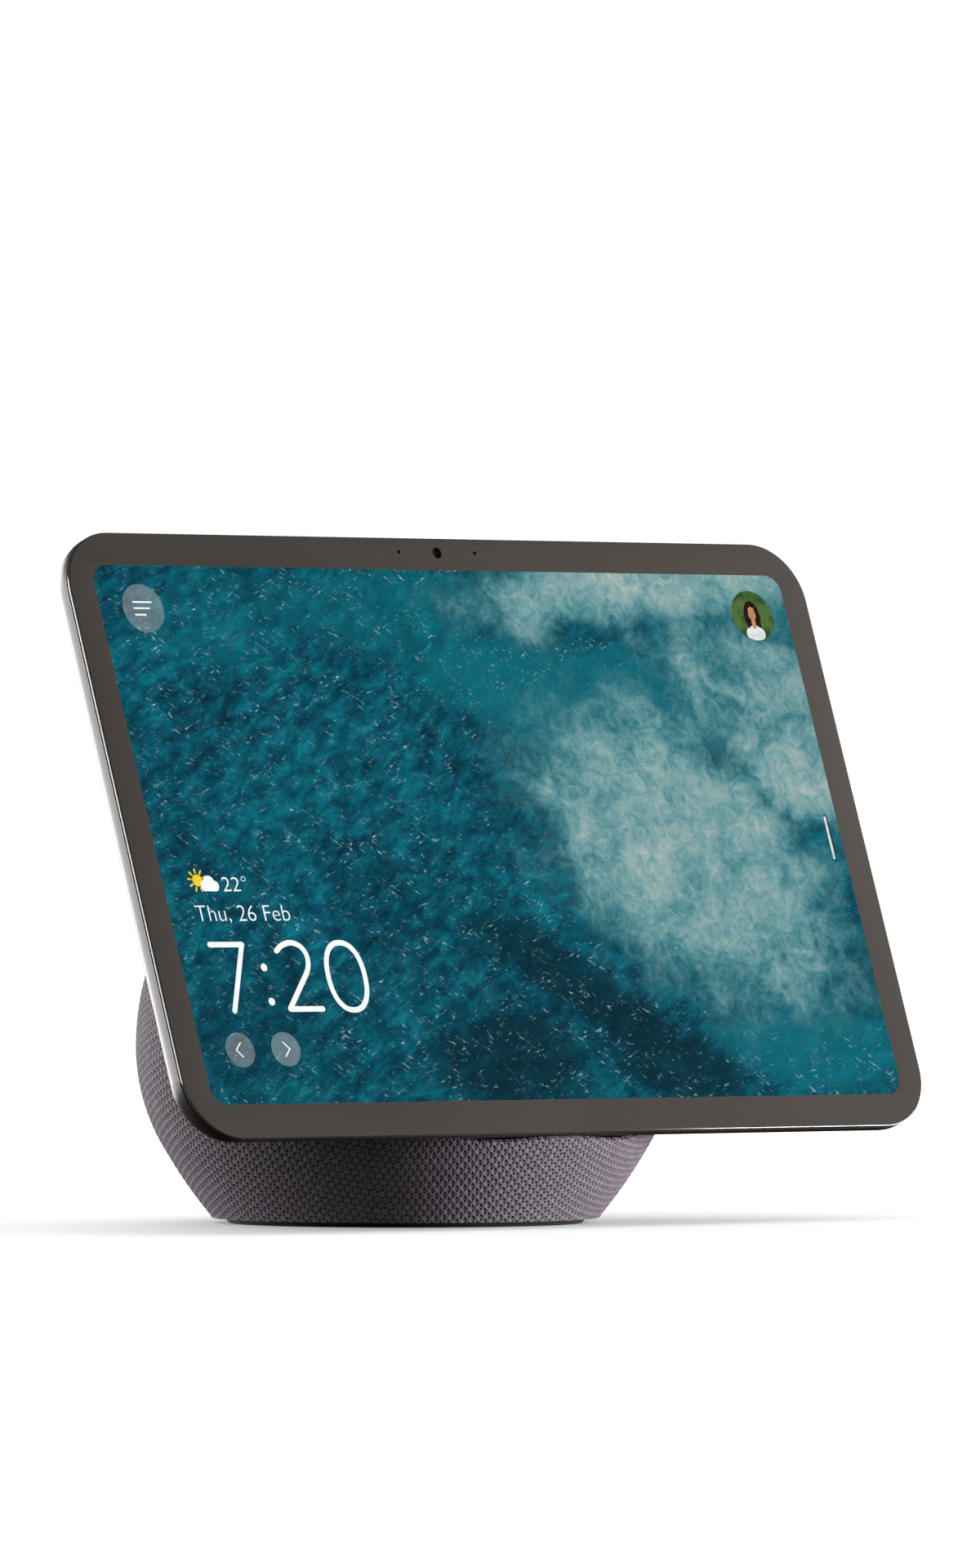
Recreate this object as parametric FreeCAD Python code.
"""Table-top smart speaker with a leaning display and a round knit-covered base.

Frame: millimetres, +Z up, -Y towards the user, +X to the user's right. The origin is the
centre of the foot on the table. Display pieces are drawn in the display's own frame (x right,
y depth behind the glass, z up the glass, origin at the middle of the lit area) and then leaned
back and lifted into place by lean().
"""
import FreeCAD, Part
import math
import os
from FreeCAD import Vector

# ---- display: outline and depth stack, counted back from the front of the glass
DISPLAY_W = 252.4
DISPLAY_H = 165.4
CORNER_R = 16.1
LEAN_DEG = 20.03
CENTRE_Z = 102.8           # middle of the lit area above the table
CENTRE_FORWARD = 39.8      # the same point in front of the base's axis
GLASS_T = 0.8
GLASS_BEVEL = 0.35
GASKET_T = 0.5
GASKET_INSET = 0.5
GASKET_W = 1.2
SLAB_T = 9.5               # glass front to housing back
EDGE_R = 7.0               # rounding of the housing's back edge
SIDE_WALL = 1.8
BACK_WALL = 1.6
CAVITY_EDGE_R = 5.2
LCD_W = 240.0
LCD_H = 150.0
PANEL_T = 1.2
SHEETS_T = 0.4
GUIDE_T = 0.8
TRAY_T = 0.3
TRAY_GAP = 0.1
PLATE_W = 243.0
PLATE_TOP = 72.4
PLATE_BOTTOM = -77.0
PLATE_Y = 4.2
PLATE_T = 0.8
PLATE_SCREW_R = 0.8
PLATE_SCREW_BITE = 2.2
PLATE_SCREW_HEAD_R = 1.9
PLATE_BOSS_R = 2.2
PLATE_CORNER_R = 10.0
BOARD_W = 120.0
BOARD_LOW = -4.0
BOARD_HIGH = 60.0
BOARD_STANDOFF = 0.6
BOARD_T = 0.8
BOARD_POST_R = 2.0
BOARD_HEAD_R = 1.7
BOARD_HEAD_T = 0.6
CAN_W = 70.0
CAN_H = 40.0
CAN_T = 1.1
CAN_WALL = 0.3
ANTENNA_W = 34.0
ANTENNA_H = 12.0
ANTENNA_T = 0.3
ANTENNA_AT = (92.0, 52.0)  # across and up the display
FLEX_LEFT = -40.0          # the screen's flat lead, from its left edge to its right one
FLEX_RIGHT = -20.0
FLEX_LOW = -44.0
FLEX_BEND = -10.0          # where it passes through the middle plate
FLEX_T = 0.2
MIC_X = 13.0
MIC_Z = 78.7
MIC_HOLE_R = 0.55
MIC_W = 3.5
MIC_H = 2.5
MIC_BACK = 1.1             # the microphones' flex, behind the back of the glass
MIC_FLEX_T = 0.25
SENSOR_X = 22.0
CAMERA_Z = 78.6
CAMERA_R = 1.9
CAMERA_BODY = 3.2          # half the width of the module's square body

# ---- keys on the top edge
KEY_CENTRES = {"mic_camera_button": -46.0, "volume_down_button": 34.0, "volume_up_button": 58.0}
KEY_W = 16.0
KEY_D = 3.2
KEY_Y = 5.5                # middle of the key, behind the glass front
KEY_PROUD = 0.45
KEY_GAP = 0.15
KEY_TRAVEL = 0.4
KEY_FLANGE_W = 20.0
KEY_FLANGE_T = 1.0
KEY_FLANGE_TOP = 77.9
KEY_BOARD_T = 1.0
KEY_BOARD_LOW = 73.2
KEY_BOARD_END = 12.0       # how far it runs past the outer keys' middles
KEY_LEDGES = (-56.0, 8.0, 68.0)
KEY_LEDGE_W = 6.0
KEY_LEDGE_T = 1.2
SWITCH_BODY_T = 1.8
SWITCH_BODY_W = 4.4
SWITCH_BODY_D = 3.0
PLUNGER_R = 0.9

# ---- base: a turned shape, a globe above its widest line and two flatter arcs below it
BASE_R = 71.2
BASE_Z = 46.5              # height of the widest line
LOWER_R = 51.8
LOWER_TURN_DEG = 29.5
SKIRT_R = 130.0
FOOT_T = 1.3
FOOT_R = 47.7
FOOT_CHAMFER = 1.2
FABRIC_T = 1.2
GLUE = 0.1
FRAME_T = 2.4
SPLIT_Y = 6.0              # joint between the front and rear halves of the frame
REST_GAP = 2.0             # air between the display's back and the base
UNDER_GAP = 0.7            # air between the display's lower edge and the base
BOTTOM_T = 2.5
BOTTOM_GAP = 0.3
BOTTOM_SCREW_AT = 43.0
POST_R = 3.5
POST_H = 10.0
SCREW_R = 1.4
SCREW_HEAD_R = 2.7
SCREW_HEAD_T = 1.3
FIT = 0.05                 # radial clearance of a screw in its hole

# ---- neck that carries the display
NECK_Z = -38.5             # up the display from the middle of the lit area
NECK_W = 52.0
NECK_H = 30.0
NECK_FLANGE_W = 66.0
NECK_FLANGE_H = 40.0
NECK_FLANGE_T = 3.0
NECK_SCREW_BITE = 4.5
NECK_SLOT_W = 22.0
NECK_SLOT_H = 7.0
NECK_SCREW_X = 18.0
NECK_SCREW_Z = 9.0
FLANGE_SCREW_X = 29.0
FLANGE_SCREW_Z = 15.0
HARNESS_W = 16.0
HARNESS_T = 0.6

# ---- woofer, facing the back, its axis along +Y
WOOFER_Z = 54.0
WOOFER_FRONT_Y = 48.0
WOOFER_R = 36.0
WOOFER_SCREWS = 4
WOOFER_RIM_W = 4.5
WOOFER_RIM_T = 2.5
CONE_R = 26.2
COIL_R = 10.4
COIL_WALL = 0.8
WINDING_T = 0.5
POLE_GAP = 0.6             # between the coil and the steel on each side of it
AIR_GAP = 0.4
TOP_PLATE_AT = -28.0       # the three steel and ferrite pieces, by their back faces
TOP_PLATE_T = 3.0
MAGNET_T = 8.0
YOKE_T = 3.5
YOKE_R = 21.5
POLE_H = 11.0
GRILLE_PITCH = 6.0
GRILLE_SLOT = 3.6
BASKET_BACK = 23.5         # depth of the basket's seat behind its front
BASKET_NECK_R = 17.2
BASKET_WALL = 1.8
BASKET_SEAT_T = 1.5
BASKET_SEAT_R = 12.5
BASKET_WINDOWS = 6
SPIDER_AT = -22.2
SPIDER_T = 0.6
DUST_CAP_R = 14.0          # radius of the globe the dust cap is part of
DUST_CAP_T = 0.6
SPEAKER_SCREW_R = 0.9
SPEAKER_HEAD_R = 1.3
SPEAKER_HEAD_T = 1.0
SPEAKER_SCREW_IN = 1.5     # screws' circle inside the flange's rim
SPEAKER_BITE = 2.5         # how deep they go into the frame

# ---- the two full-range drivers, facing the front left and front right
DRIVER_TURN_DEG = 65.0
DRIVER_OUT = 59.5          # front of the driver's flange from the base's axis
DRIVER_R = 18.0
DRIVER_RIM_T = 1.5
DRIVER_CUP_BACK = 11.0
DRIVER_SEAT_T = 1.0
DRIVER_POT_R = 9.5
DRIVER_POT_T = 9.0
DRIVER_CONE_R = 11.5
DRIVER_COIL_R = 6.0
DRIVER_COIL_WALL = 0.5
DRIVER_SCREWS = 3

# ---- power inlet at the back
INLET_Z = 13.0
INLET_FACE_Y = 53.0
INLET_POCKET_R = 6.0
INLET_TUBE_T = 2.0
INLET_BORE_R = 2.85
INLET_PIN_R = 1.0
INLET_BORE_D = 9.0
INLET_NOSE = 3.0
INLET_BODY_W = 13.0
INLET_BODY_H = 9.0
INLET_BODY_D = 10.0

# ---- power board in the base
POWER_W = 58.0
POWER_FRONT_Y = -38.0
POWER_BACK_Y = 0.0
POWER_Z = 10.5
POWER_T = 1.6
POWER_POST_R = 3.0
POWER_SCREW_BITE = 4.0
FIN_COUNT = 5
FIN_PITCH = 3.3
FIN_T = 1.2
FIN_H = 12.0
FIN_FOOT_T = 2.0
FIN_W = 14.0
BALLAST_R = 37.0
BALLAST_T = 4.5

BACK_Y = SLAB_T + REST_GAP
REST_CORNER_R = EDGE_R + UNDER_GAP
PLATE_BACK_Y = PLATE_Y + PLATE_T
CAVITY_BACK_Y = SLAB_T - BACK_WALL
HOUSING_Y = GLASS_T + GASKET_T
BIG = 200.0
X_AXIS, Y_AXIS, Z_AXIS = Vector(1, 0, 0), Vector(0, 1, 0), Vector(0, 0, 1)
ORIGIN = Vector(0, 0, 0)


# ---- helpers
def block(x0, x1, y0, y1, z0, z1):
    """A box between two corners."""
    return Part.makeBox(x1 - x0, y1 - y0, z1 - z0, Vector(x0, y0, z0))


def rod(radius, start, direction, length):
    """A round bar."""
    return Part.makeCylinder(radius, length, start, direction)


def tube(outer, inner, start, direction, length):
    """A round bar with a hole along it."""
    return rod(outer, start, direction, length).cut(rod(inner, start, direction, length))


def fuse(shapes):
    """One solid from shapes that touch or overlap."""
    return shapes[0].multiFuse(shapes[1:]).removeSplitter() if len(shapes) > 1 else shapes[0]


def rounded_plate(width, height, radius, y0, y1, x_mid=0.0, z_mid=0.0):
    """A rounded rectangle in the XZ plane, from depth y0 to y1."""
    w, h, r = width / 2, height / 2, radius
    k = r * math.sqrt(0.5)
    corners = [(w - r, h - r, 1, 1), (w - r, r - h, 1, -1), (r - w, r - h, -1, -1), (r - w, h - r, -1, 1)]
    ends = []
    for cx, cz, sx, sz in corners:
        along = (Vector(cx, 0, cz + sz * r), Vector(cx + sx * k, 0, cz + sz * k), Vector(cx + sx * r, 0, cz))
        ends.append(along if sx * sz > 0 else along[::-1])
    edges = []
    for i, arc in enumerate(ends):
        edges.append(Part.Arc(*arc).toShape())
        start, stop = arc[2], ends[(i + 1) % 4][0]
        if start.distanceToPoint(stop) > 1e-6:
            edges.append(Part.LineSegment(start, stop).toShape())
    face = Part.Face(Part.Wire(edges))
    face.translate(Vector(x_mid, y0, z_mid))
    return face.extrude(Vector(0, y1 - y0, 0))


def slab(grow, y0, y1, edge_r):
    """The display's outline grown by grow, from y0 to y1, with its back edge rounded."""
    plate = rounded_plate(DISPLAY_W + 2 * grow, DISPLAY_H + 2 * grow, CORNER_R + grow, y0, y1)
    rim = [e for e in plate.Edges if abs(e.BoundBox.YMin - y1) < 1e-6 and abs(e.BoundBox.YMax - y1) < 1e-6]
    return plate.makeFillet(edge_r, rim)


def lean(shape):
    """Moves a shape from the display's own frame into place."""
    placed = shape.copy()
    placed.rotate(ORIGIN, X_AXIS, -LEAN_DEG)
    placed.translate(Vector(0, -CENTRE_FORWARD, CENTRE_Z))
    return placed


def turned(points):
    """A solid turned about Z from (radius, height) points joined by straight lines."""
    corners = [Vector(r, 0, z) for r, z in points]
    face = Part.Face(Part.makePolygon(corners + corners[:1]))
    return face.revolve(ORIGIN, Z_AXIS, 360)


def aim(shape, at, direction):
    """Turns a shape made along +Z so that it lies along direction, and moves its origin to at."""
    placed = shape.copy()
    placed.Placement = FreeCAD.Placement(at, FreeCAD.Rotation(Z_AXIS, direction))
    return placed


def save(name, shape):
    """Writes one named piece."""
    shape.exportStep(os.path.join("parts", name + ".step"))


# ---- the base's turned shape
def base_solid(inset, floor_z=FOOT_T):
    """The base's outer shape made smaller by inset, cut flat at floor_z."""
    turn = math.radians(LOWER_TURN_DEG)
    lower_x = BASE_R - LOWER_R
    skirt_x = lower_x - (SKIRT_R - LOWER_R) * math.cos(turn)
    skirt_z = BASE_Z + (SKIRT_R - LOWER_R) * math.sin(turn)
    top_r, low_r, skirt_r = BASE_R - inset, LOWER_R - inset, SKIRT_R - inset

    def on_arc(x, z, radius, angle):
        return Vector(x + radius * math.cos(angle), 0, z + radius * math.sin(angle))

    end = -math.asin((skirt_z - floor_z) / skirt_r)
    pole, crown = on_arc(0, BASE_Z, top_r, math.pi / 2), on_arc(0, BASE_Z, top_r, math.pi / 4)
    waist = on_arc(0, BASE_Z, top_r, 0)
    knee_mid, knee = on_arc(lower_x, BASE_Z, low_r, -turn / 2), on_arc(lower_x, BASE_Z, low_r, -turn)
    hem_mid = on_arc(skirt_x, skirt_z, skirt_r, (end - turn) / 2)
    hem = on_arc(skirt_x, skirt_z, skirt_r, end)
    edges = [
        Part.Arc(pole, crown, waist).toShape(),
        Part.Arc(waist, knee_mid, knee).toShape(),
        Part.Arc(knee, hem_mid, hem).toShape(),
        Part.LineSegment(hem, Vector(0, 0, floor_z)).toShape(),
        Part.LineSegment(Vector(0, 0, floor_z), pole).toShape(),
    ]
    return Part.Face(Part.Wire(edges)).revolve(ORIGIN, Z_AXIS, 360)


def rest_space(grow=0.0):
    """The space cut out of the base for the display: behind its back, round its lower back
    edge, and under it."""
    low = -(DISPLAY_H / 2 + UNDER_GAP + grow)
    back = BACK_Y + grow
    space = block(-BIG, BIG, -BIG, back, low, BIG)
    corner = [e for e in space.Edges if e.BoundBox.YMin > back - 1e-6 and e.BoundBox.ZMax < low + 1e-6]
    return lean(space.makeFillet(REST_CORNER_R + grow, corner))


# ---- display pieces
def cover_glass():
    glass = rounded_plate(DISPLAY_W, DISPLAY_H, CORNER_R, 0, GLASS_T)
    rim = [e for e in glass.Edges if e.BoundBox.YMax < 1e-6]
    glass = glass.makeChamfer(GLASS_BEVEL, rim)
    for side in (-1, 1):
        glass = glass.cut(rod(MIC_HOLE_R, Vector(side * MIC_X, -1, MIC_Z), Y_AXIS, GLASS_T + 2))
    return lean(glass)


def glass_gasket():
    w, h, r = (v - 2 * GASKET_INSET for v in (DISPLAY_W, DISPLAY_H, 2 * CORNER_R))
    inner_w, inner_h = w - 2 * GASKET_W, h - 2 * GASKET_W
    ring = rounded_plate(w, h, r / 2, GLASS_T, HOUSING_Y)
    return lean(ring.cut(rounded_plate(inner_w, inner_h, r / 2 - GASKET_W, GLASS_T, HOUSING_Y)))


def stack_levels():
    """Depths of the faces between panel, sheets, guide and tray."""
    panel_back = GLASS_T + PANEL_T
    sheets_back = panel_back + SHEETS_T
    guide_back = sheets_back + GUIDE_T
    return panel_back, sheets_back, guide_back, guide_back + TRAY_T


def display_panel():
    return lean(block(-LCD_W / 2, LCD_W / 2, GLASS_T, stack_levels()[0], -LCD_H / 2, LCD_H / 2))


def inner_sheet(y0, y1):
    """A sheet that lies inside the tray's rim."""
    w, h = LCD_W / 2 - TRAY_T - TRAY_GAP, LCD_H / 2 - TRAY_T - TRAY_GAP
    return lean(block(-w, w, y0, y1, -h, h))


def optical_sheets():
    return inner_sheet(stack_levels()[0], stack_levels()[1])


def light_guide():
    return inner_sheet(stack_levels()[1], stack_levels()[2])


def backlight_tray():
    panel_back, _, guide_back, tray_back = stack_levels()
    w, h = LCD_W / 2, LCD_H / 2
    pan = block(-w, w, panel_back, tray_back, -h, h)
    hollow = block(TRAY_T - w, w - TRAY_T, panel_back, guide_back, TRAY_T - h, h - TRAY_T)
    return lean(pan.cut(hollow))


def plate_screw_places():
    """Eight screws round the middle plate, as (x, z)."""
    low, high = PLATE_BOTTOM + 5, PLATE_TOP - 5
    edge = PLATE_W / 2 - 8
    rows = [(x, z) for z in (low, high) for x in (-edge, -edge / 3, edge / 3, edge)]
    return rows


def board_screw_places():
    """Four screws at the main board's corners, as (x, z)."""
    x, low, high = BOARD_W / 2 - 4, BOARD_LOW + 4, BOARD_HIGH - 4
    return [(-x, low), (x, low), (-x, high), (x, high)]


def neck_screw_places():
    """Four screws through the housing's back into the neck, as (x, z)."""
    return [(i * NECK_SCREW_X, NECK_Z + j * NECK_SCREW_Z) for i in (-1, 1) for j in (-1, 1)]


def key_prism(width, depth, z0, z1, x_mid, gap=0.0):
    """A key's rounded footprint seen from above, from z0 up to z1."""
    w, d = width / 2 + gap, depth / 2 + gap
    r = d
    mid = block(x_mid - w + r, x_mid + w - r, KEY_Y - d, KEY_Y + d, z0, z1)
    ends = [rod(r, Vector(x_mid + s * (w - r), KEY_Y, z0), Z_AXIS, z1 - z0) for s in (-1, 1)]
    return fuse([mid] + ends)


def neck_slot(y0, y1):
    """The slot the lead passes through, from depth y0 to y1."""
    return rounded_plate(NECK_SLOT_W, NECK_SLOT_H, NECK_SLOT_H / 2 - 0.1, y0, y1, 0, NECK_Z)


def display_housing():
    shell = slab(0, HOUSING_Y, SLAB_T, EDGE_R)
    shell = shell.cut(slab(-SIDE_WALL, HOUSING_Y, CAVITY_BACK_Y, CAVITY_EDGE_R))
    hole_depth = CAVITY_BACK_Y - PLATE_BACK_Y
    root_y = CAVITY_BACK_Y + BACK_WALL / 2
    bosses = [rod(PLATE_BOSS_R, Vector(x, PLATE_BACK_Y, z), Y_AXIS, root_y - PLATE_BACK_Y)
              for x, z in plate_screw_places()]
    half = KEY_LEDGE_W / 2
    ledge_low = KEY_BOARD_LOW - KEY_LEDGE_T
    ledges = [block(x - half, x + half, PLATE_BACK_Y + 0.4, root_y, ledge_low, KEY_BOARD_LOW)
              for x in KEY_LEDGES]
    shell = fuse([shell] + bosses + ledges)
    for x, z in plate_screw_places():
        shell = shell.cut(rod(PLATE_SCREW_R + FIT, Vector(x, PLATE_BACK_Y, z), Y_AXIS, hole_depth))
    for x, z in neck_screw_places():
        shell = shell.cut(rod(SCREW_R + FIT, Vector(x, CAVITY_BACK_Y - 1, z), Y_AXIS, BACK_WALL + 2))
    shell = shell.cut(neck_slot(CAVITY_BACK_Y - 1, SLAB_T + 1))
    for x in KEY_CENTRES.values():
        low = DISPLAY_H / 2 - SIDE_WALL - EDGE_R
        shell = shell.cut(key_prism(KEY_W, KEY_D, low, DISPLAY_H / 2 + 1, x, KEY_GAP))
    return lean(shell)


def mid_plate():
    height, z_mid = PLATE_TOP - PLATE_BOTTOM, (PLATE_TOP + PLATE_BOTTOM) / 2
    plate = rounded_plate(PLATE_W, height, PLATE_CORNER_R, PLATE_Y, PLATE_BACK_Y, 0, z_mid)
    root_y = PLATE_BACK_Y - PLATE_T / 2
    posts = [rod(BOARD_POST_R, Vector(x, root_y, z), Y_AXIS, PLATE_BACK_Y + BOARD_STANDOFF - root_y)
             for x, z in board_screw_places()]
    plate = fuse([plate] + posts)
    for x, z in plate_screw_places() + board_screw_places():
        plate = plate.cut(rod(PLATE_SCREW_R + FIT, Vector(x, PLATE_Y - 1, z), Y_AXIS, 4))
    window = rounded_plate(NECK_FLANGE_W, NECK_FLANGE_H - 6, 5.0, PLATE_Y - 1, PLATE_BACK_Y + 1, 0, NECK_Z)
    x0, x1 = FLEX_LEFT - 2, FLEX_RIGHT + 2
    flex_slot = block(x0, x1, PLATE_Y - 1, PLATE_BACK_Y + 1, FLEX_BEND - 2, FLEX_BEND + 2)
    return lean(plate.cut(window).cut(flex_slot))


def depth_screw(x, y_head, z, length, head_r, head_t, shank_r):
    """A screw along the display's depth: its head ends at y_head and its shank goes back from there."""
    head = rod(head_r, Vector(x, y_head - head_t, z), Y_AXIS, head_t)
    return fuse([head, rod(shank_r, Vector(x, y_head, z), Y_AXIS, length)])


def mid_plate_screws():
    head_t = PLATE_Y - stack_levels()[3] - 0.1
    length = PLATE_T + PLATE_SCREW_BITE
    screws = [depth_screw(x, PLATE_Y, z, length, PLATE_SCREW_HEAD_R, head_t, PLATE_SCREW_R)
              for x, z in plate_screw_places()]
    return lean(Part.makeCompound(screws))


def main_board():
    y0 = PLATE_BACK_Y + BOARD_STANDOFF
    z_mid = (BOARD_LOW + BOARD_HIGH) / 2
    board = rounded_plate(BOARD_W, BOARD_HIGH - BOARD_LOW, 2.0, y0, y0 + BOARD_T, 0, z_mid)
    for x, z in board_screw_places():
        board = board.cut(rod(PLATE_SCREW_R + FIT, Vector(x, y0 - 1, z), Y_AXIS, BOARD_T + 2))
    return lean(board)


def main_board_screws():
    y = PLATE_BACK_Y + BOARD_STANDOFF + BOARD_T
    reach = BOARD_T + BOARD_STANDOFF
    screws = []
    for x, z in board_screw_places():
        head = rod(BOARD_HEAD_R, Vector(x, y, z), Y_AXIS, BOARD_HEAD_T)
        screws.append(fuse([head, rod(PLATE_SCREW_R, Vector(x, y - reach, z), Y_AXIS, reach)]))
    return lean(Part.makeCompound(screws))


def can_place():
    """Front face depth and middle height of the shield can."""
    return PLATE_BACK_Y + BOARD_STANDOFF + BOARD_T, (BOARD_LOW + BOARD_HIGH) / 2


def shield_can():
    y0, z_mid = can_place()
    can = rounded_plate(CAN_W, CAN_H, 1.5, y0, y0 + CAN_T, 0, z_mid)
    inner_w, inner_h = CAN_W - 2 * CAN_WALL, CAN_H - 2 * CAN_WALL
    hollow = rounded_plate(inner_w, inner_h, 1.2, y0, y0 + CAN_T - CAN_WALL, 0, z_mid)
    return lean(can.cut(hollow))


def thermal_pad():
    y0, z_mid = can_place()
    return lean(rounded_plate(CAN_W - 10, CAN_H - 10, 1.0, y0 + CAN_T, CAVITY_BACK_Y, 0, z_mid))


def camera_module():
    barrel = rod(CAMERA_R, Vector(0, GLASS_T + 0.4, CAMERA_Z), Y_AXIS, 2.0)
    half = CAMERA_BODY
    body = block(-half, half, GLASS_T + 2.2, GLASS_T + 4.6, CAMERA_Z - half, CAMERA_Z + 1.3)
    return lean(fuse([barrel, body]))


def camera_lens():
    return lean(rod(CAMERA_R - 0.4, Vector(0, GLASS_T + 0.05, CAMERA_Z), Y_AXIS, 0.35))


def microphone_flex():
    y0 = GLASS_T + MIC_BACK
    strip = block(-18, 26, y0, y0 + MIC_FLEX_T, CAMERA_Z - 3.4, CAMERA_Z + 2.1)
    gap = CAMERA_R + 0.3
    return lean(strip.cut(block(-gap, gap, y0 - 1, y0 + 1, CAMERA_Z - gap, CAMERA_Z + 5)))


def microphones():
    y0, y1 = GLASS_T + 0.15, GLASS_T + MIC_BACK
    w, h = MIC_W / 2, MIC_H / 2
    cans = [block(x - w, x + w, y0, y1, MIC_Z - h, MIC_Z + h) for x in (-MIC_X, MIC_X)]
    return lean(Part.makeCompound(cans))


def light_sensor():
    return lean(block(SENSOR_X - 1, SENSOR_X + 1, GLASS_T + 0.3, GLASS_T + MIC_BACK, MIC_Z - 1, MIC_Z + 1))


def antennas():
    y0 = CAVITY_BACK_Y - ANTENNA_T
    x, z = ANTENNA_AT
    pair = [rounded_plate(ANTENNA_W, ANTENNA_H, 1.0, y0, CAVITY_BACK_Y, s * x, z) for s in (-1, 1)]
    return lean(Part.makeCompound(pair))


def display_flex():
    tray_back = stack_levels()[3]
    board_y = PLATE_BACK_Y + BOARD_STANDOFF
    bend_end = FLEX_BEND + FLEX_T
    run = block(FLEX_LEFT, FLEX_RIGHT, tray_back, tray_back + FLEX_T, FLEX_LOW, bend_end)
    step = block(FLEX_LEFT, FLEX_RIGHT, tray_back, board_y, FLEX_BEND, bend_end)
    tail = block(FLEX_LEFT, FLEX_RIGHT, board_y - FLEX_T, board_y, FLEX_BEND, BOARD_LOW + 3)
    return lean(fuse([run, step, tail]))


def key(name):
    """One key: a pill that follows the housing's rounded edge, with a flange inside that keeps
    it in."""
    x = KEY_CENTRES[name]
    low = KEY_FLANGE_TOP - KEY_FLANGE_T
    cap = key_prism(KEY_W, KEY_D, low, DISPLAY_H / 2 + 3, x)
    cap = cap.common(slab(KEY_PROUD, HOUSING_Y, SLAB_T + KEY_PROUD, EDGE_R + KEY_PROUD))
    w, d = KEY_FLANGE_W / 2, KEY_D / 2
    flange = block(x - w, x + w, KEY_Y - d, KEY_Y + d - 0.4, low, KEY_FLANGE_TOP)
    return lean(fuse([cap, flange]))


def key_board():
    x0, x1 = min(KEY_CENTRES.values()) - KEY_BOARD_END, max(KEY_CENTRES.values()) + KEY_BOARD_END
    y0, y1 = stack_levels()[3] + 0.3, CAVITY_BACK_Y - 0.4
    return lean(block(x0, x1, y0, y1, KEY_BOARD_LOW, KEY_BOARD_LOW + KEY_BOARD_T))


def tact_switches():
    top = KEY_BOARD_LOW + KEY_BOARD_T
    plunger_top = KEY_FLANGE_TOP - KEY_FLANGE_T - KEY_TRAVEL - 0.02
    plunger_low = top + SWITCH_BODY_T - 0.2
    w, d = SWITCH_BODY_W / 2, SWITCH_BODY_D / 2
    switches = []
    for x in KEY_CENTRES.values():
        body = block(x - w, x + w, KEY_Y - d, KEY_Y + d, top, top + SWITCH_BODY_T)
        plunger = rod(PLUNGER_R, Vector(x, KEY_Y, plunger_low), Z_AXIS, plunger_top - plunger_low)
        switches.append(fuse([body, plunger]))
    return lean(Part.makeCompound(switches))


# ---- neck
def neck_bracket():
    flange_y = BACK_Y + FRAME_T
    stub = rounded_plate(NECK_W, NECK_H, NECK_H / 2 - 0.1, SLAB_T, flange_y + 1, 0, NECK_Z)
    flange = rounded_plate(NECK_FLANGE_W, NECK_FLANGE_H, 6.0, flange_y, flange_y + NECK_FLANGE_T, 0, NECK_Z)
    neck = fuse([stub, flange]).cut(neck_slot(SLAB_T - 1, flange_y + NECK_FLANGE_T + 1))
    for x, z in neck_screw_places():
        neck = neck.cut(rod(SCREW_R + FIT, Vector(x, SLAB_T - 1, z), Y_AXIS, 6))
    for x, z in flange_screw_places():
        neck = neck.cut(rod(SCREW_R + FIT, Vector(x, flange_y - 1, z), Y_AXIS, NECK_FLANGE_T + 2))
    return lean(neck)


def neck_gasket():
    gap = 0.1
    ring = rounded_plate(NECK_W + 6, NECK_H + 6, NECK_H / 2 + 2.8, SLAB_T + gap, BACK_Y - gap, 0, NECK_Z)
    hole = rounded_plate(NECK_W + 2 * gap, NECK_H + 2 * gap, NECK_H / 2, SLAB_T, BACK_Y, 0, NECK_Z)
    return lean(ring.cut(hole))


def neck_screws():
    length = BACK_WALL + NECK_SCREW_BITE
    screws = [depth_screw(x, CAVITY_BACK_Y, z, length, SCREW_HEAD_R, SCREW_HEAD_T, SCREW_R)
              for x, z in neck_screw_places()]
    return lean(Part.makeCompound(screws))


def flange_screw_places():
    """Four screws through the neck's flange into the base's front wall, as (x, z)."""
    return [(i * FLANGE_SCREW_X, NECK_Z + j * FLANGE_SCREW_Z) for i in (-1, 1) for j in (-1, 1)]


def flange_screws():
    y = BACK_Y + FRAME_T + NECK_FLANGE_T
    reach = NECK_FLANGE_T + FRAME_T - 0.4
    screws = []
    for x, z in flange_screw_places():
        head = rod(SCREW_HEAD_R, Vector(x, y, z), Y_AXIS, SCREW_HEAD_T)
        screws.append(fuse([head, rod(SCREW_R, Vector(x, y - reach, z), Y_AXIS, reach)]))
    return lean(Part.makeCompound(screws))


def display_point(y, z):
    """A point of the display's middle plane in the object's frame, as (y, z)."""
    cos, sin = math.cos(math.radians(LEAN_DEG)), math.sin(math.radians(LEAN_DEG))
    return -CENTRE_FORWARD + y * cos + z * sin, CENTRE_Z - y * sin + z * cos


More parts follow.
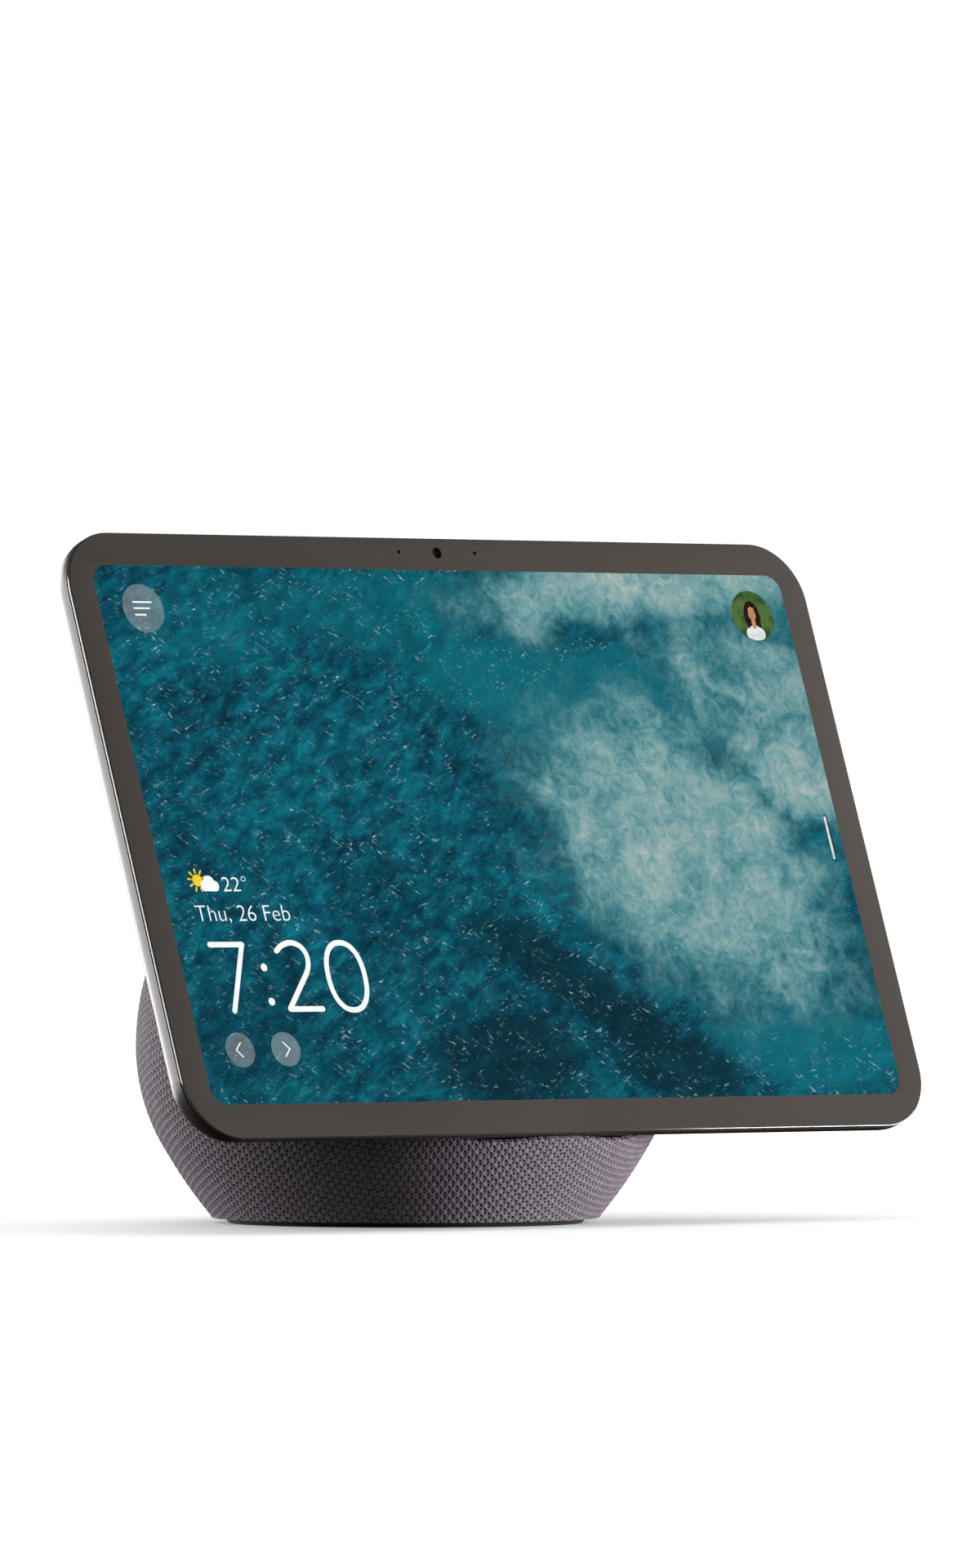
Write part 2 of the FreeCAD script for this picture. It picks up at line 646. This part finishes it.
def wiring_harness():
    """A flat lead from the main board, back through the neck and down to the power board."""
    run_y = CAVITY_BACK_Y - 0.5
    board_top = POWER_Z + POWER_T
    path = [display_point(run_y, BOARD_LOW + 2), display_point(run_y, NECK_Z)]
    path.append(display_point(BACK_Y + 14, NECK_Z))
    path.append((path[-1][0] + 2.0, board_top + 12))
    path.append((path[-1][0] - 12.0, board_top + HARNESS_T / 2 + 0.02))
    strips = []
    for (y0, z0), (y1, z1) in zip(path, path[1:]):
        length = math.hypot(y1 - y0, z1 - z0)
        strip = block(-HARNESS_W / 2, HARNESS_W / 2, 0, length, -HARNESS_T / 2, HARNESS_T / 2)
        strip.rotate(ORIGIN, X_AXIS, math.degrees(math.atan2(z1 - z0, y1 - y0)))
        strip.translate(Vector(0, y0, z0))
        strips.append(strip)
        if (y1, z1) != path[-1]:
            strips.append(rod(HARNESS_T / 2, Vector(-HARNESS_W / 2, y1, z1), X_AXIS, HARNESS_W))
    return fuse(strips).cut(block(-BIG, BIG, -BIG, BIG, -BIG, board_top + 0.01))


# ---- base pieces
def fabric_cover():
    cover = base_solid(0).cut(base_solid(FABRIC_T)).cut(rest_space())
    hole_r = INLET_POCKET_R + INLET_TUBE_T / 2
    return cover.cut(rod(hole_r, Vector(0, INLET_FACE_Y - 5, INLET_Z), Y_AXIS, BIG))


def driver_direction(side):
    """The way a driver faces: side is -1 for the left one and 1 for the right one."""
    turn = math.radians(DRIVER_TURN_DEG)
    return Vector(side * math.sin(turn), -math.cos(turn), 0)


def grille_tool(radius, at, direction, z_mid):
    """Level slots inside a circle, to cut an opening for sound."""
    count = int(radius / GRILLE_PITCH)
    bars = [block(-BIG, BIG, -BIG, BIG, z_mid + i * GRILLE_PITCH - GRILLE_SLOT / 2,
                  z_mid + i * GRILLE_PITCH + GRILLE_SLOT / 2) for i in range(-count, count + 1)]
    return rod(radius, at, direction, BIG).common(Part.makeCompound(bars))


def bottom_screw_places():
    """Four screws that hold the bottom plate, as (x, y)."""
    turns = [math.radians(a) for a in (35, 145, 215, 325)]
    return [(BOTTOM_SCREW_AT * math.cos(a), BOTTOM_SCREW_AT * math.sin(a)) for a in turns]


def base_frame():
    """The plastic frame under the fabric, before it is split into its front and rear halves."""
    inset = FABRIC_T + GLUE
    outer = base_solid(inset).cut(rest_space())
    hollow = base_solid(inset + FRAME_T).cut(rest_space(FRAME_T))
    woofer_at = Vector(0, WOOFER_FRONT_Y, WOOFER_Z)
    inlet_at = Vector(0, INLET_FACE_Y - INLET_NOSE, INLET_Z)
    extras = [tube(WOOFER_R, WOOFER_R - 3, woofer_at, Y_AXIS, BIG),
              rod(INLET_POCKET_R + INLET_TUBE_T, inlet_at, Y_AXIS, BIG)]
    for side in (-1, 1):
        way = driver_direction(side)
        extras.append(tube(DRIVER_R, DRIVER_R - 2.5, way * DRIVER_OUT + Z_AXIS * BASE_Z, way, BIG))
    for x, y in bottom_screw_places():
        post = rod(POST_R, Vector(x, y, FOOT_T + BOTTOM_T), Z_AXIS, POST_H)
        web = block(0, BIG, -1.2, 1.2, FOOT_T + BOTTOM_T, FOOT_T + BOTTOM_T + POST_H)
        web.rotate(ORIGIN, Z_AXIS, math.degrees(math.atan2(y, x)))
        web.translate(Vector(x, y, 0))
        extras += [post, web]
    frame = fuse([outer.cut(hollow)] + [e.common(outer) for e in extras])
    frame = frame.cut(grille_tool(WOOFER_R - 5, woofer_at + Y_AXIS, Y_AXIS, WOOFER_Z))
    for side in (-1, 1):
        way = driver_direction(side)
        frame = frame.cut(grille_tool(DRIVER_R - 4, way * (DRIVER_OUT + 1) + Z_AXIS * BASE_Z, way, BASE_Z))
    frame = frame.cut(rod(INLET_POCKET_R, inlet_at - Y_AXIS, Y_AXIS, BIG))
    for x, y in speaker_screw_places(WOOFER_R, WOOFER_SCREWS):
        frame = frame.cut(woofer(rod(SPEAKER_SCREW_R + FIT, Vector(x, y, 0), Z_AXIS, SPEAKER_BITE)))
    for x, y in speaker_screw_places(DRIVER_R, DRIVER_SCREWS):
        for side in (-1, 1):
            frame = frame.cut(driver(rod(SPEAKER_SCREW_R + FIT, Vector(x, y, 0), Z_AXIS, SPEAKER_BITE), side))
    for x, y in bottom_screw_places():
        frame = frame.cut(rod(SCREW_R + FIT, Vector(x, y, 0), Z_AXIS, POST_H + 2))
    stub = rounded_plate(NECK_W + 0.2, NECK_H + 0.2, NECK_H / 2, BACK_Y - 1, BACK_Y + FRAME_T, 0, NECK_Z)
    frame = frame.cut(lean(stub))
    for x, z in flange_screw_places():
        hole = rod(SCREW_R + FIT, Vector(x, BACK_Y + 0.3, z), Y_AXIS, FRAME_T)
        frame = frame.cut(lean(hole))
    return frame


def bottom_plate():
    # the opening in the frame's foot end sets the plate's size
    hollow = base_solid(FABRIC_T + GLUE + FRAME_T)
    opening = max(v.Point.x for v in hollow.Vertexes if v.Point.z < FOOT_T + 0.1)
    plate = rod(opening - BOTTOM_GAP, Vector(0, 0, FOOT_T), Z_AXIS, BOTTOM_T)
    root_z = FOOT_T + BOTTOM_T / 2
    posts = [rod(POWER_POST_R, Vector(x, y, root_z), Z_AXIS, POWER_Z - root_z)
             for x, y in power_screw_places()]
    plate = fuse([plate] + posts)
    for x, y in bottom_screw_places():
        plate = plate.cut(rod(SCREW_R + FIT, Vector(x, y, 0), Z_AXIS, BOTTOM_T + 3))
        plate = plate.cut(rod(SCREW_HEAD_R + 0.2, Vector(x, y, FOOT_T), Z_AXIS, SCREW_HEAD_T))
    for x, y in power_screw_places():
        plate = plate.cut(rod(SCREW_R + FIT, Vector(x, y, POWER_Z - 5), Z_AXIS, 6))
    return plate


def bottom_screws():
    screws = []
    for x, y in bottom_screw_places():
        head = rod(SCREW_HEAD_R, Vector(x, y, FOOT_T + 0.05), Z_AXIS, SCREW_HEAD_T - 0.05)
        screws.append(fuse([head, rod(SCREW_R, Vector(x, y, FOOT_T + SCREW_HEAD_T), Z_AXIS, POST_H - 2)]))
    return Part.makeCompound(screws)


def foot_pad():
    pad = rod(FOOT_R, ORIGIN, Z_AXIS, FOOT_T)
    rim = [e for e in pad.Edges if e.BoundBox.ZMax < 1e-3]
    return pad.makeChamfer(FOOT_CHAMFER, rim)


def ballast():
    low = FOOT_T + BOTTOM_T
    disc = rod(BALLAST_R, Vector(0, 0, low), Z_AXIS, BALLAST_T)
    return disc.common(block(-BIG, BIG, POWER_BACK_Y + 4, BIG, low, low + BALLAST_T))


def power_screw_places():
    """Four screws at the power board's corners, as (x, y)."""
    x = POWER_W / 2 - 4
    return [(i * x, y) for i in (-1, 1) for y in (POWER_FRONT_Y + 4, POWER_BACK_Y - 4)]


def power_board():
    board = block(-POWER_W / 2, POWER_W / 2, POWER_FRONT_Y, POWER_BACK_Y, POWER_Z, POWER_Z + POWER_T)
    for x, y in power_screw_places():
        board = board.cut(rod(SCREW_R + FIT, Vector(x, y, POWER_Z - 1), Z_AXIS, POWER_T + 2))
    return board


def power_board_screws():
    top = POWER_Z + POWER_T
    screws = []
    for x, y in power_screw_places():
        head = rod(SCREW_HEAD_R, Vector(x, y, top), Z_AXIS, SCREW_HEAD_T)
        reach = POWER_T + POWER_SCREW_BITE
        screws.append(fuse([head, rod(SCREW_R, Vector(x, y, top - reach), Z_AXIS, reach)]))
    return Part.makeCompound(screws)


def heat_sink():
    top = POWER_Z + POWER_T
    x1, y0 = POWER_W / 2 - 3, POWER_FRONT_Y + 8
    x0 = x1 - FIN_W
    starts = [y0 + i * FIN_PITCH for i in range(FIN_COUNT)]
    fins = [block(x0, x1, y, y + FIN_T, top, top + FIN_H) for y in starts]
    return fuse([block(x0, x1, y0, starts[-1] + FIN_T, top, top + FIN_FOOT_T)] + fins)


def dc_inlet():
    seat_y = INLET_FACE_Y - INLET_NOSE
    nose = rod(INLET_POCKET_R - FIT, Vector(0, seat_y, INLET_Z), Y_AXIS, INLET_NOSE)
    w, h = INLET_BODY_W / 2, INLET_BODY_H / 2
    body = block(-w, w, seat_y - INLET_BODY_D, seat_y, INLET_Z - h, INLET_Z + h)
    jack = fuse([nose, body])
    bore_start = INLET_FACE_Y - INLET_BORE_D
    jack = jack.cut(rod(INLET_BORE_R, Vector(0, bore_start, INLET_Z), Y_AXIS, INLET_BORE_D + 1))
    pin = rod(INLET_PIN_R, Vector(0, bore_start - 1, INLET_Z), Y_AXIS, INLET_BORE_D - 1)
    return fuse([jack, pin])


# ---- woofer, drawn along +Z with its front at height 0 and then turned to face +Y
def woofer(shape):
    return aim(shape, Vector(0, WOOFER_FRONT_Y, WOOFER_Z), Y_AXIS)


def woofer_basket():
    rim_r, rim_z = WOOFER_R - WOOFER_RIM_W, -WOOFER_RIM_T
    ring = [(rim_r, rim_z), (WOOFER_R, rim_z), (WOOFER_R, 0), (rim_r, 0)]
    neck_r, back = BASKET_NECK_R, -BASKET_BACK
    outer_r, seat_z = neck_r + BASKET_WALL, back - BASKET_SEAT_T
    wall = [(rim_r, rim_z), (rim_r + 1.3, rim_z), (outer_r, back), (neck_r, back)]
    seat = [(BASKET_SEAT_R, seat_z), (outer_r, seat_z), (outer_r, back), (BASKET_SEAT_R, back)]
    basket = fuse([turned(ring), turned(wall), turned(seat)])
    for i in range(BASKET_WINDOWS):
        window = block(21, 50, -6, 6, -20, -6)
        window.rotate(ORIGIN, Z_AXIS, 360 / BASKET_WINDOWS * (i + 0.5))
        basket = basket.cut(window)
    for x, y in speaker_screw_places(WOOFER_R, WOOFER_SCREWS):
        basket = basket.cut(rod(SPEAKER_SCREW_R + FIT, Vector(x, y, -3), Z_AXIS, 4))
    return woofer(basket)


def woofer_top_plate():
    hole_r = COIL_R + COIL_WALL + POLE_GAP
    return woofer(tube(YOKE_R, hole_r, Vector(0, 0, TOP_PLATE_AT), Z_AXIS, TOP_PLATE_T))


def woofer_magnet():
    low = TOP_PLATE_AT - MAGNET_T
    return woofer(tube(YOKE_R + 1.5, COIL_R + 2.6, Vector(0, 0, low), Z_AXIS, MAGNET_T))


def woofer_yoke():
    low = TOP_PLATE_AT - MAGNET_T - YOKE_T
    back = rod(YOKE_R, Vector(0, 0, low), Z_AXIS, YOKE_T)
    pole = rod(COIL_R - COIL_WALL - POLE_GAP, Vector(0, 0, low + YOKE_T - 0.5), Z_AXIS, POLE_H)
    return woofer(fuse([back, pole]))


def woofer_voice_coil():
    former = tube(COIL_R, COIL_R - COIL_WALL, Vector(0, 0, -31), Z_AXIS, 17.5)
    winding = tube(COIL_R + WINDING_T, COIL_R - COIL_WALL / 2, Vector(0, 0, -30), Z_AXIS, 7)
    return woofer(fuse([former, winding]))


def woofer_cone():
    foot = COIL_R + 0.02
    cone = turned([(foot, -14.2), (foot, -13.4), (CONE_R - 0.6, -1.2), (CONE_R, -1.2), (CONE_R, -2.0)])
    return woofer(cone)


def woofer_dust_cap():
    coil_top = -13.5
    middle = Vector(0, 0, coil_top - math.sqrt(DUST_CAP_R ** 2 - (COIL_R - 0.2) ** 2))
    shell = Part.makeSphere(DUST_CAP_R, middle).cut(Part.makeSphere(DUST_CAP_R - DUST_CAP_T, middle))
    return woofer(shell.common(rod(COIL_R, Vector(0, 0, coil_top + 0.02), Z_AXIS, 20)))


def woofer_surround():
    """The rubber half-roll between the cone and the basket; its inner rim clears the cone."""
    inner, outer = CONE_R + AIR_GAP, WOOFER_R - WOOFER_RIM_W
    mid, half = (inner + outer) / 2, (outer - inner) / 2
    roll = Part.makeTorus(mid, half, Vector(0, 0, -1.6), Z_AXIS)
    core = Part.makeTorus(mid, half - 0.5, Vector(0, 0, -1.6), Z_AXIS)
    return woofer(roll.cut(core).common(tube(outer, inner, Vector(0, 0, -1.6), Z_AXIS, 6)))


def woofer_spider():
    """The cloth ring that centres the coil; it fills the basket's sloping wall at its height."""
    slope = (WOOFER_R - WOOFER_RIM_W - BASKET_NECK_R) / (BASKET_BACK - WOOFER_RIM_T)
    rim = BASKET_NECK_R + slope * (BASKET_BACK + SPIDER_AT) - FIT
    hole_r = COIL_R + WINDING_T + AIR_GAP
    return woofer(tube(rim, hole_r, Vector(0, 0, SPIDER_AT), Z_AXIS, SPIDER_T))


def speaker_screw_places(flange_r, count):
    """Screws round a speaker's flange, as (x, y)."""
    radius = flange_r - SPEAKER_SCREW_IN
    turns = [2 * math.pi * (i + 0.5) / count for i in range(count)]
    return [(radius * math.cos(a), radius * math.sin(a)) for a in turns]


def driver(shape, side):
    """Places a driver drawn along +Z with its flange's front at height 0."""
    way = driver_direction(side)
    return aim(shape, way * DRIVER_OUT + Z_AXIS * BASE_Z, way)


def driver_frame(side):
    rim_z, back = -DRIVER_RIM_T, -DRIVER_CUP_BACK
    flange = tube(DRIVER_R, DRIVER_R - 4, Vector(0, 0, rim_z), Z_AXIS, DRIVER_RIM_T)
    wall = [(DRIVER_R - 5.2, rim_z), (DRIVER_R - 3.4, rim_z), (DRIVER_R - 6, back), (DRIVER_R - 7.8, back)]
    seat = tube(DRIVER_R - 6, 7.0, Vector(0, 0, back - DRIVER_SEAT_T), Z_AXIS, DRIVER_SEAT_T + 0.2)
    frame = fuse([flange, turned(wall), seat])
    for x, y in speaker_screw_places(DRIVER_R, DRIVER_SCREWS):
        frame = frame.cut(rod(SPEAKER_SCREW_R + FIT, Vector(x, y, -3), Z_AXIS, 4))
    return driver(frame, side)


def driver_magnet(side):
    low = -DRIVER_CUP_BACK - DRIVER_SEAT_T - DRIVER_POT_T
    pot = rod(DRIVER_POT_R, Vector(0, 0, low), Z_AXIS, DRIVER_POT_T)
    slot = tube(DRIVER_COIL_R + POLE_GAP, DRIVER_COIL_R - 1.0, Vector(0, 0, low + 3), Z_AXIS, 7)
    return driver(pot.cut(slot), side)


def driver_cone(side):
    """A driver's cone with its coil and its flat cap, one moving piece."""
    inner_r = DRIVER_COIL_R - DRIVER_COIL_WALL
    coil = tube(DRIVER_COIL_R, inner_r, Vector(0, 0, -16), Z_AXIS, 9)
    cone = turned([(inner_r + 0.1, -7.6), (inner_r + 0.1, -7.0), (DRIVER_CONE_R - 0.5, -2.6),
                   (DRIVER_CONE_R, -2.6), (DRIVER_CONE_R, -3.1)])
    cap = rod(inner_r + 0.2, Vector(0, 0, -7.4), Z_AXIS, 0.5)
    return driver(fuse([coil, cone, cap]), side)


def driver_surround(side):
    """The flat rubber ring round a driver's cone, clear of the cone."""
    ring = tube(DRIVER_R - 4 - FIT, DRIVER_CONE_R + AIR_GAP, Vector(0, 0, -DRIVER_RIM_T), Z_AXIS, 0.6)
    return driver(ring, side)


def speaker_screws():
    """Short screws that hold the three speakers to the frame."""
    def one(x, y, flange_t):
        head = rod(SPEAKER_HEAD_R, Vector(x, y, -flange_t - SPEAKER_HEAD_T), Z_AXIS, SPEAKER_HEAD_T)
        length = flange_t + SPEAKER_BITE - 0.5
        return fuse([head, rod(SPEAKER_SCREW_R, Vector(x, y, -flange_t), Z_AXIS, length)])

    screws = [woofer(one(x, y, WOOFER_RIM_T)) for x, y in speaker_screw_places(WOOFER_R, WOOFER_SCREWS)]
    for side in (-1, 1):
        screws += [driver(one(x, y, DRIVER_RIM_T), side)
                   for x, y in speaker_screw_places(DRIVER_R, DRIVER_SCREWS)]
    return Part.makeCompound(screws)


def main():
    os.makedirs("parts", exist_ok=True)
    frame = base_frame()
    pieces = {
        "cover_glass": cover_glass(), "glass_gasket": glass_gasket(), "display_panel": display_panel(),
        "optical_sheets": optical_sheets(), "light_guide": light_guide(), "backlight_tray": backlight_tray(),
        "display_housing": display_housing(), "mid_plate": mid_plate(),
        "mid_plate_screws": mid_plate_screws(), "main_board": main_board(),
        "main_board_screws": main_board_screws(), "shield_can": shield_can(),
        "thermal_pad": thermal_pad(), "camera_module": camera_module(), "camera_lens": camera_lens(),
        "microphone_flex": microphone_flex(), "microphones": microphones(), "light_sensor": light_sensor(),
        "antennas": antennas(), "display_flex": display_flex(), "key_board": key_board(),
        "tact_switches": tact_switches(), "neck_bracket": neck_bracket(), "neck_gasket": neck_gasket(),
        "neck_screws": neck_screws(), "flange_screws": flange_screws(), "wiring_harness": wiring_harness(),
        "fabric_cover": fabric_cover(),
        "base_frame_front": frame.common(block(-BIG, BIG, -BIG, SPLIT_Y, -BIG, BIG)),
        "base_frame_rear": frame.common(block(-BIG, BIG, SPLIT_Y, BIG, -BIG, BIG)),
        "bottom_plate": bottom_plate(), "bottom_screws": bottom_screws(), "foot_pad": foot_pad(),
        "ballast": ballast(), "power_board": power_board(), "power_board_screws": power_board_screws(),
        "heat_sink": heat_sink(), "dc_inlet": dc_inlet(), "woofer_basket": woofer_basket(),
        "woofer_top_plate": woofer_top_plate(), "woofer_magnet": woofer_magnet(),
        "woofer_yoke": woofer_yoke(), "woofer_voice_coil": woofer_voice_coil(), "woofer_cone": woofer_cone(),
        "woofer_dust_cap": woofer_dust_cap(), "woofer_surround": woofer_surround(),
        "woofer_spider": woofer_spider(), "speaker_screws": speaker_screws(),
    }
    for name in KEY_CENTRES:
        pieces[name] = key(name)
    for word, side in (("left", -1), ("right", 1)):
        pieces[word + "_driver_frame"] = driver_frame(side)
        pieces[word + "_driver_magnet"] = driver_magnet(side)
        pieces[word + "_driver_cone"] = driver_cone(side)
        pieces[word + "_driver_surround"] = driver_surround(side)
    for name, shape in pieces.items():
        save(name, shape)
        print(name, "solids", len(shape.Solids), "valid", shape.isValid(), "volume", round(shape.Volume, 1))


main()
